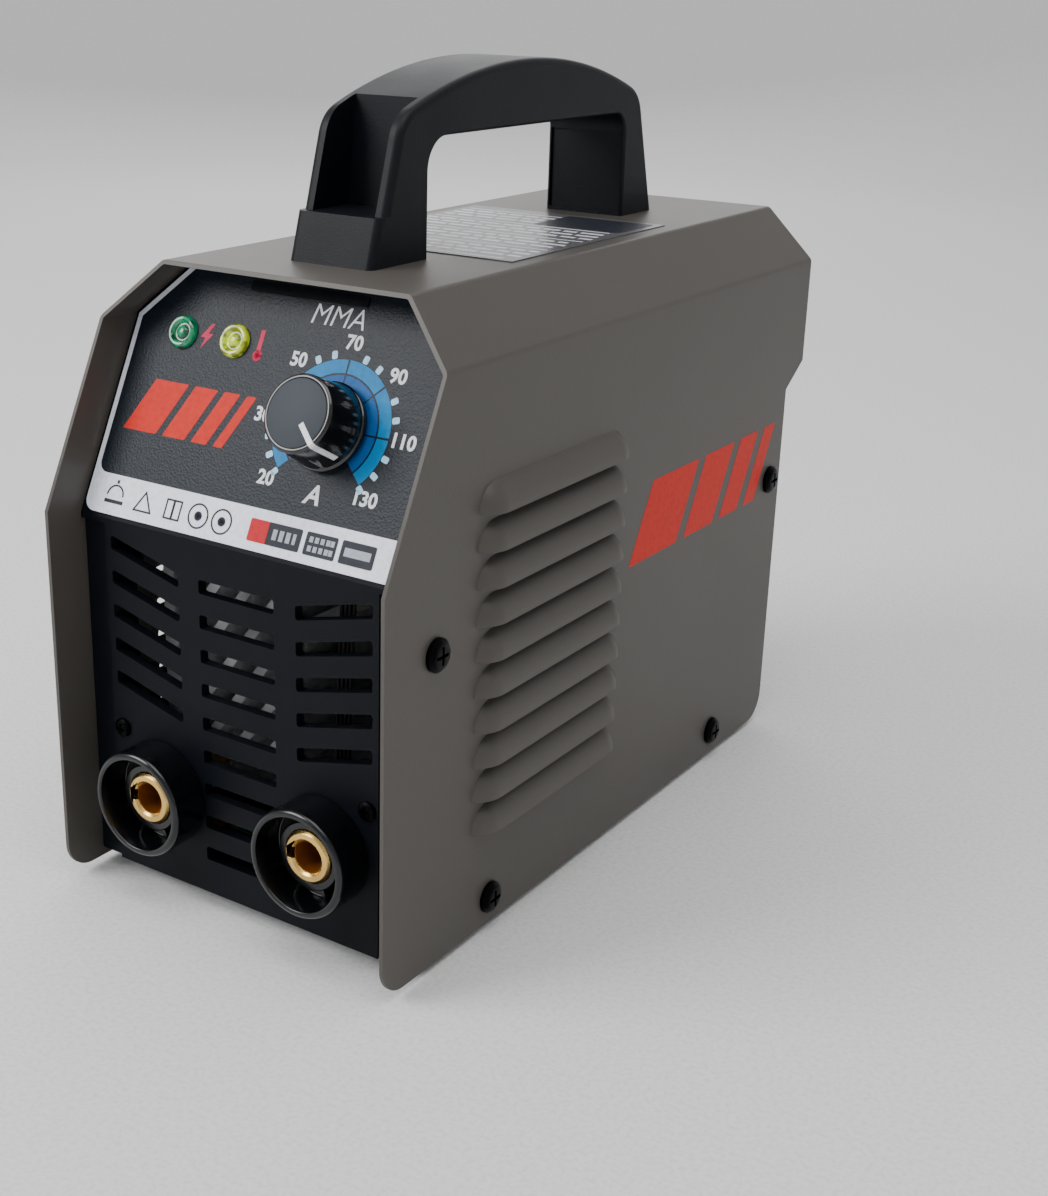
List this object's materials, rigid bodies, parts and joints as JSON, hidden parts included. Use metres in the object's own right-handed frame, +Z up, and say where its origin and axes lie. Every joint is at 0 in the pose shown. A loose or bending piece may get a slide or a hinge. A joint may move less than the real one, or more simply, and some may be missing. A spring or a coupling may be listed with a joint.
{
  "type": "stick welding inverter",
  "caption": "Compact welding inverter: folded steel housing with louvres and carry handle, slotted front panel with current knob, lamps and output sockets, rear fan and switch.",
  "frame": {"origin": "on the bench, under the middle of the housing", "axes": "+Z up, -Y towards the front panel, +X to the right as seen from the front"},
  "size_m": [0.124, 0.24, 0.2295],
  "materials": {
    "cover_paint": "grey-brown powder coat, satin",
    "tray_steel": "zinc plated sheet",
    "black_screw": "black oxide",
    "zinc_screw": "zinc plated",
    "handle_plastic": "black moulded, fine grain",
    "panel_plastic": "black moulded, satin",
    "label_film": "printed film",
    "rating_film": "silver printed film",
    "knob_plastic": "black",
    "pointer_white": "white inlay",
    "lens_green": "clear green",
    "lens_yellow": "clear yellow",
    "led_epoxy": "clear epoxy",
    "pot_metal": "plated can",
    "collar_plastic": "glossy black",
    "brass": "turned",
    "copper": "copper strap",
    "foot_rubber": "matt",
    "circuit_board": "green solder mask",
    "aluminium": "extruded",
    "chip_epoxy": "moulded epoxy",
    "capacitor_sleeve": "shrink sleeve",
    "relay_case": "blue case",
    "ferrite": "ferrite",
    "winding_tape": "polyester tape",
    "choke_copper": "enamelled wire",
    "fan_plastic": "black PBT",
    "guard_chrome": "bright wire",
    "switch_plastic": "black",
    "rocker_plastic": "red",
    "gland_plastic": "black polyamide",
    "lead_insulation": "wire insulation"
  },
  "bodies": {
    "machine": {"cover_shell": "cover_paint", "cover_screws": "black_screw", "handle": "handle_plastic", "handle_screws": "zinc_screw", "rating_label": "rating_film", "front_panel": "panel_plastic", "front_panel_screws": "black_screw", "fascia_label": "label_film", "pot_body": "pot_metal", "pot_nut": "pot_metal", "lamp_lens_green": "lens_green", "lamp_lens_yellow": "lens_yellow", "indicator_leds": "led_epoxy", "control_board": "circuit_board", "control_board_screws": "zinc_screw", "socket_collar_left": "collar_plastic", "socket_collar_right": "collar_plastic", "socket_insert_left": "brass", "socket_insert_right": "brass", "socket_ring_nuts": "collar_plastic", "output_bar_left": "copper", "output_bar_right": "copper", "socket_washers": "zinc_screw", "socket_tail_nuts": "zinc_screw", "base_tray": "tray_steel", "rubber_feet": "foot_rubber", "board_standoffs": "brass", "main_board": "circuit_board", "board_screws": "zinc_screw", "heatsink_front": "aluminium", "heatsink_rear": "aluminium", "power_transistors": "chip_epoxy", "output_diodes": "chip_epoxy", "bus_capacitors": "capacitor_sleeve", "bridge_rectifier": "chip_epoxy", "soft_start_relay": "relay_case", "transformer_core": "ferrite", "transformer_winding": "winding_tape", "choke_core": "ferrite", "choke_winding": "choke_copper", "rear_panel": "panel_plastic", "fan_frame": "fan_plastic", "fan_guard": "guard_chrome", "fan_screws": "black_screw", "switch_housing": "switch_plastic", "gland_body": "gland_plastic", "gland_cap": "gland_plastic", "gland_seal": "foot_rubber", "gland_locknut": "gland_plastic", "switch_leads": "lead_insulation", "fan_lead": "lead_insulation", "control_lead": "lead_insulation"},
    "current_knob": {"knob": "knob_plastic", "knob_pointer": "pointer_white", "pot_shaft": "pot_metal"},
    "fan_rotor": {"fan_rotor": "fan_plastic"},
    "rocker": {"switch_rocker": "rocker_plastic"}
  },
  "joints": [
    {"name": "knob_turn", "type": "hinge", "parent": "machine", "child": "current_knob", "pos_m": [0.0198, -0.09182, 0.1428], "axis": [0, -0.8957, 0.4446], "range_deg": [0, 270]},
    {"name": "fan_spin", "type": "hinge", "parent": "machine", "child": "fan_rotor", "pos_m": [0, 0.092, 0.057], "axis": [0, 1, 0], "continuous": true},
    {"name": "rocker_tip", "type": "hinge", "parent": "machine", "child": "rocker", "pos_m": [-0.027, 0.1065, 0.142], "axis": [1, 0, 0], "range_deg": [0, 16]}
  ]
}
